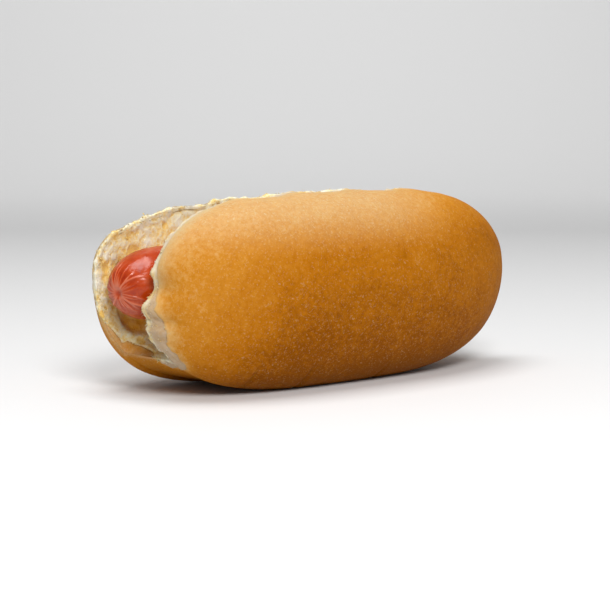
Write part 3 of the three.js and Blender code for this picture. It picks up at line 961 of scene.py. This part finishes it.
# %% Frames on the crumb's surface
def frames(weight, count, lean):
    """Roots drawn by area times weight, and for each three axes as rows: a random heading that leans off
    the surface by up to lean (radians), the direction aside, and the upper side. Also the tones there."""
    corners = CRUMB_SURFACE["points"][CRUMB_SURFACE["triangles"]]
    across = cross_products(corners)
    area = np.linalg.norm(across, axis=-1)
    chance = area * weight[CRUMB_SURFACE["triangles"]].mean(axis=1)
    chosen = random.choice(len(area), count, p=chance / chance.sum())
    shares = random.dirichlet((1, 1, 1), count)
    root = (corners[chosen] * shares[..., None]).sum(axis=1)
    normal = unit(across[chosen])
    wander = random.normal(size=(count, 3))
    along = unit(wander - (wander * normal).sum(-1, keepdims=True) * normal)
    angle = random.uniform(0, lean, (count, 1))
    heading = np.cos(angle) * along + np.sin(angle) * normal
    upper = np.cos(angle) * normal - np.sin(angle) * along
    under = CRUMB_SURFACE["triangles"][chosen, 0]
    tones = {label: CRUMB_SURFACE[label][under] for label in ("recess", "painted_band_shade", "shade")}
    tones["recess"] = tones["recess"] + random.uniform(-0.1, 0.3, count)
    tones["painted_band_shade"] = 0.4 * tones["painted_band_shade"]
    return root, np.stack([heading, np.cross(upper, heading), upper], axis=1), tones


def lay(name, local, faces, root, axes, tones):
    """Every bit's local points (heading, aside, upper) go to its root and axes. A bit that would stand out
    of the solids' box moves in as a whole. All bits become one piece, in the tones under them."""
    count, corners = local.shape[:2]
    placed = root[:, None] + local @ axes
    placed += np.maximum(0, BOX_LOW - TO_FRAME - placed.min(axis=1, keepdims=True))
    placed -= np.maximum(0, placed.max(axis=1, keepdims=True) - (BOX_HIGH - TO_FRAME))
    triangles = (faces[None] + corners * np.arange(count)[:, None, None]).reshape(-1, 3)
    values = {label: np.repeat(numbers, corners) for label, numbers in tones.items()}
    new_piece(name, placed.reshape(-1, 3), triangles, values, loose_material, "bun")


# %% Granules
GRANULE_SHAPE = np.array([1.15, 0.9, 0.65])     # longer ahead than aside, and flattened


def icosahedron():
    """Twelve corners from three crossed golden rectangles. Three corners that lie 2 apart are a face."""
    golden = (1 + math.sqrt(5)) / 2
    rectangle = [(0, a, b * golden) for a in (-1, 1) for b in (-1, 1)]
    corners = np.array([np.roll(corner, shift) for shift in range(3) for corner in rectangle])
    near = np.abs(np.linalg.norm(corners[:, None] - corners[None], axis=-1) - 2) < 0.01
    faces = np.array([
        (i, j, k) for i in range(12) for j in range(i + 1, 12) for k in range(j + 1, 12)
        if near[i, j] and near[j, k] and near[i, k]])
    inwards = (cross_products(corners[faces]) * corners[faces[:, 0]]).sum(axis=-1) < 0
    faces[inwards] = faces[inwards][:, ::-1]
    return unit(corners), faces


def granules(count, size, weight):
    """Icosahedra whose corners are pushed in and out at random, flattened and half sunk."""
    corners, faces = icosahedron()
    root, axes, tones = frames(weight, count, 0)
    radius = size[0] * (size[1] / size[0]) ** random.uniform(0, 1, (count, 1, 1)) ** 2
    pushed = random.uniform(0.65, 1.25, (count, len(corners), 1))
    return corners * radius * pushed * GRANULE_SHAPE, faces, root, axes, tones


lay("crumb_granules", *granules(
    count=1200, size=(0.07, 0.16), weight=chance_by_place(on_faces=0.5, less_in_pocket=0.4)))


# %% Flakes
OUTLINE = 8             # corners round a flake


def flakes(count, length, weight):
    """A ragged oval with a middle point above and below, curled along its heading as a square."""
    root, axes, tones = frames(weight, count, 0.6)
    angle = np.arange(OUTLINE) * 2 * math.pi / OUTLINE + random.uniform(-0.25, 0.25, (count, OUTLINE))
    ragged = random.uniform(0.55, 1.1, (count, OUTLINE))
    long = length[0] * (length[1] / length[0]) ** random.uniform(0, 1, (count, 1)) ** 2
    wide = long * random.uniform(0.3, 0.7, (count, 1))
    along = long * (0.45 + 0.5 * ragged * np.cos(angle))
    aside = wide * 0.5 * ragged * np.sin(angle)
    along = np.concatenate([along, 0.45 * long, 0.45 * long], axis=1)
    aside = np.concatenate([aside, np.zeros((count, 2))], axis=1)
    curl = random.uniform(-0.35, 0.5, (count, 1)) / long
    upper = curl * along ** 2 - 0.5 * np.abs(aside) * random.uniform(-1, 1, (count, 1))
    upper[:, -2:] += np.array([0.05, -0.05])
    ring = np.arange(OUTLINE)
    after = (ring + 1) % OUTLINE
    faces = np.concatenate([
        np.stack([ring, after, np.full(OUTLINE, OUTLINE)], axis=-1),
        np.stack([after, ring, np.full(OUTLINE, OUTLINE + 1)], axis=-1)])
    return np.stack([along, aside, upper], axis=-1), faces, root, axes, tones


lay("crumb_flakes", *flakes(
    count=2600, length=(0.3, 1.2), weight=chance_by_place(on_faces=0.12, less_in_pocket=0.8)))


# %% Fibres
RINGS = np.linspace(0, 0.85, 4)         # places of the rings along a fibre, whose tip is a point


def fibres(count, length, thickness, weight):
    """A three-sided tube that thins to a point. It bends both ways, as a square and a sine."""
    root, axes, tones = frames(weight, count, 1.0)
    long = random.uniform(*length, (count, 1))
    thick = random.uniform(*thickness, (count, 1, 1))
    along = np.append(RINGS, 1.0)
    bend = random.normal(0, 0.45, (count, 2, 1)) * along ** 2
    bend = bend + random.normal(0, 0.12, (count, 2, 1)) * np.sin(6 * along)
    spine = long[..., None] * np.stack([np.tile(along, (count, 1)), bend[:, 0], bend[:, 1]], axis=-1)
    spoke_angle = np.arange(3) * 2 * math.pi / 3
    spoke = np.stack([np.zeros(3), np.cos(spoke_angle), np.sin(spoke_angle)], axis=-1)
    rings = spine[:, :-1, None] + (thick * (1 - RINGS[:, None]))[..., None] * spoke
    local = np.concatenate([rings.reshape(count, -1, 3), spine[:, -1:]], axis=1)
    faces = [(0, 2, 1)]
    for ring in range(0, 3 * (len(RINGS) - 1), 3):
        for side in range(3):
            a, b = ring + side, ring + (side + 1) % 3
            faces += [(a, b, b + 3), (a, b + 3, a + 3)]
    last = 3 * (len(RINGS) - 1)
    faces += [(last + side, last + (side + 1) % 3, last + 3) for side in range(3)]
    return local, np.array(faces), root, axes, tones


lay("crumb_fibres", *fibres(
    count=2500, length=(0.4, 1.4), thickness=(0.02, 0.045),
    weight=chance_by_place(on_faces=0.1, less_in_pocket=0.9)))

# %% [markdown]
# ## Sausage skin
#
# The casing is a thin smooth film, shiny with fat and moisture, over fine pink-brown meat. Light goes in
# and comes back orange-red. Towards the tip the film gathers in folds that run to a point.
#
# The skin's own gloss is nearly off, and a coat stands for the film, so that highlights stay sharp over the
# soft meat. The folds could be a bump map, but they show in the outline of the tip, so they are in the
# mesh. The attribute `fold` paints a pinkish sheen on their crests and shade on the gathered tip: painted
# sheen and painted shade.

# %% Material of the skin
skin_material, tree = new_material("cooked_sausage_skin")
where = add(tree, "ShaderNodeTexCoord").outputs["Object"]
fold = add(tree, "ShaderNodeAttribute", attribute_name="fold").outputs["Fac"]
blotches = add(tree, "ShaderNodeTexNoise", {
    "Vector": where, "Scale": per(5), "Detail": 4.0, "Roughness": 0.6}).outputs["Fac"]
# Painted sheen and shade: fold lightens the crests of the folds towards pink and darkens the gathered tip.
skin_tone = add(tree, "ShaderNodeMath", {0: blotches, 1: fold}, operation="ADD").outputs[0]
skin_colour = add(tree, "ShaderNodeValToRGB", {0: skin_tone}, stops=[
    (0.2, "#881b00"), (0.5, "#aa3800"), (0.9, "#c3694a")]).outputs["Color"]
stretched = add(tree, "ShaderNodeMapping", {"Vector": where, "Scale": (0.35, 1.0, 1.0)}).outputs["Vector"]
film = add(tree, "ShaderNodeTexNoise", {
    "Vector": stretched, "Scale": per(0.9), "Detail": 3.0}).outputs["Fac"]
film_bump = add(tree, "ShaderNodeBump", {
    "Height": film, "Strength": 0.6, "Distance": 0.14 * MM}).outputs["Normal"]
skin_shader = add(tree, "ShaderNodeBsdfPrincipled", {
    "Base Color": skin_colour, "Roughness": 0.5, "IOR": 1.45, "Specular IOR Level": 0.06,
    "Subsurface Weight": 0.15, "Subsurface Radius": (1.0, 0.3, 0.12), "Subsurface Scale": 1.0 * MM,
    "Coat Weight": 0.7, "Coat Roughness": 0.17,
    "Normal": film_bump, "Coat Normal": film_bump})
add(tree, "ShaderNodeOutputMaterial", {"Surface": skin_shader.outputs[0]})


# %% Folds of the casing
FOLDS = 36                      # gathers of the casing round each tip
FOLD = dict(height=0.65, width=(0.18, 0.45), length=(4.0, 13.0))    # mm
PUCKER = dict(depth=0.7, radius=1.5)


def gathers(angle, from_tip, radius, random):
    """Folds that run out from a tip. Each is a bell curve across its own direction, as wide in millimetres
    everywhere, and it dies out as an S curve over its own length. Where two meet, the higher one counts."""
    direction = (np.arange(FOLDS) + random.uniform(-0.4, 0.4, FOLDS)) * 2 * math.pi / FOLDS
    width = random.uniform(*FOLD["width"], FOLDS)
    length = random.uniform(*FOLD["length"], FOLDS)
    height = FOLD["height"] * random.uniform(0.35, 1.0, FOLDS)
    bend = random.uniform(-0.03, 0.05, FOLDS)
    total = np.zeros_like(angle)
    for n in range(FOLDS):
        turned = angle - direction[n] - bend[n] * from_tip
        aside = (np.mod(turned + math.pi, 2 * math.pi) - math.pi) * radius
        fades = eased(from_tip, 0, 1.2) * (1 - smoothstep((from_tip / length[n]) ** 2))
        total = np.maximum(total, height[n] * fades * bell(aside / width[n]))
    return total


# %% The frankfurter as a closed tube
FRANK_STEPS = dict(cap=59, middle=89, round=300)
FILM = dict(thick=0.1, uneven=0.08, lump=1.5)               # mm


def frank_rows():
    """Places along X: cosines crowd them towards the tips, and they are even between the two caps."""
    cap = FRANK_CAP["length"] * (1 - np.cos(np.linspace(0, math.pi / 2, FRANK_STEPS["cap"] + 1)))
    left, right = FRANK["left_x"] + cap, FRANK["right_x"] - cap
    middle = np.linspace(left[-1], right[-1], FRANK_STEPS["middle"] + 1)[1:-1]
    return np.concatenate([left, middle, right[::-1]])


def tube_axes(x):
    """Unit vectors along the middle line, level across it, and across both, from points 1 mm apart."""
    ahead_y, ahead_z = (b - a for a, b in zip(frank_centre(x - 0.5), frank_centre(x + 0.5)))
    ahead = unit(np.stack([np.ones_like(x), ahead_y, ahead_z], axis=-1))
    sideways = unit(np.stack([-ahead[..., 1], ahead[..., 0], np.zeros_like(x)], axis=-1))
    return ahead, sideways, np.cross(ahead, sideways)


def build_frank():
    """A ring of the girth is carried along the middle line, with folds at both tips, which are drawn in."""
    along = frank_rows()
    x, turn = crossed(along, np.linspace(0, 1, FRANK_STEPS["round"] + 1))
    angle = -2 * math.pi * turn
    y, z = frank_centre(x)
    ahead, sideways, upwards = tube_axes(x)
    radius = frank_radius(x)
    step = np.hypot(np.diff(along), np.diff(radius[:, 0]))
    from_left = np.concatenate([[0], np.cumsum(step)])[:, None]
    from_right = from_left[-1] - from_left
    random = np.random.default_rng(8)
    fold = sum(gathers(angle, distance, radius, random) for distance in (from_left, from_right))
    painted_tip_shade = 1 - eased(np.minimum(from_left, from_right), 0, 9) * np.ones_like(x)
    drawn_in = PUCKER["depth"] * (1 - eased(radius, 0, PUCKER["radius"]))
    centre = np.stack([x, y, z], axis=-1) - ahead * (np.sign(x) * drawn_in)[..., None]
    spoke = np.cos(angle)[..., None] * sideways + np.sin(angle)[..., None] * upwards
    uneven = FILM["uneven"] * lumps(centre + radius[..., None] * spoke, FILM["lump"], 91)
    uneven = uneven * np.clip(radius / 4, 0, 1)
    points = centre + (radius + fold + uneven + FILM["thick"])[..., None] * spoke
    points[0], points[-1] = points[0].mean(0), points[-1].mean(0)
    shaped, triangles, first = weld([points])
    # As an attribute, fold paints sheen on the crests and shade at the gathered tip.
    return shaped, triangles, dict(fold=(1.1 * fold - 0.24 * painted_tip_shade).ravel()[first])


points, triangles, values = build_frank()
new_piece("frankfurter_skin", points, triangles, values, skin_material, "frankfurter")

# %% [markdown]
# ## Studio
#
# A pale sweep, a softbox overhead, a smaller one near the camera that puts the highlights on the skin, and
# a third behind, aimed at the sweep: the light of a plain product picture.

# %% Sweep
stage_material, tree = new_material("pale_paper_sweep")
paper = add(tree, "ShaderNodeBsdfPrincipled", {"Base Color": linear("#dadada"), "Roughness": 0.9})
add(tree, "ShaderNodeOutputMaterial", {"Surface": paper.outputs[0]})
SWEEP = dict(front=-2.5, bend_from=1.2, bend_radius=1.0, top=3.5, half_width=3)     # metres
up = np.array([0, 0, 1])
away = unit(-back * np.array([1, 1, 0]))
aside = np.array([-away[1], away[0], 0])
quarter = np.linspace(-math.pi / 2, 0, 24)
run = SWEEP["bend_from"] + SWEEP["bend_radius"] * np.cos(quarter)
run = np.concatenate([[SWEEP["front"]], run, run[-1:]])
rise = SWEEP["bend_radius"] + SWEEP["bend_radius"] * np.sin(quarter)
rise = np.concatenate([[0], rise, [SWEEP["top"]]])
reach = np.linspace(-1, 1, 3) * SWEEP["half_width"]
sweep = run[:, None, None] * away + rise[:, None, None] * up + reach[None, :, None] * aside
mesh = bpy.data.meshes.new("sweep")
corners, quads, _ = weld([sweep])
mesh.from_pydata(corners.tolist(), [], quads.tolist())
mesh.shade_smooth()
mesh.materials.append(stage_material)
sweep_object = bpy.data.objects.new("sweep", mesh)
bpy.context.scene.collection.objects.link(sweep_object)

# %% Lights
WORLD_STRENGTH = 0.26
right = np.array([math.cos(AZIMUTH), math.sin(AZIMUTH), 0])


def softbox(name, place, size, power, towards=np.zeros(3)):
    """A square area light at a place in metres from the hot dog, aimed at it or towards another place. size
    is its side in metres, power is in watts."""
    data = bpy.data.lights.new(name, "AREA")
    data.size = size
    data.energy = power
    light = bpy.data.objects.new(name, data)
    bpy.context.scene.collection.objects.link(light)
    light.location = AIM * MM + place
    direction = unit(towards - place)
    heading = math.atan2(direction[1], direction[0])
    light.rotation_euler = (math.acos(-direction[2]), 0, heading - math.pi / 2)


softbox("overhead", -0.1 * right + 0.1 * back + 1.0 * up, size=0.62, power=8.0)
softbox("key", 0.15 * right + 0.83 * back + 0.54 * up, size=0.36, power=8.2)
softbox("backdrop", 0.9 * away + 1.2 * up, size=1.2, power=14.0, towards=2.2 * away + 0.9 * up)
world = bpy.data.worlds.new("world")
world.use_nodes = True
world.node_tree.nodes["Background"].inputs["Color"].default_value = (1, 1, 1, 1)
world.node_tree.nodes["Background"].inputs["Strength"].default_value = WORLD_STRENGTH
bpy.context.scene.world = world
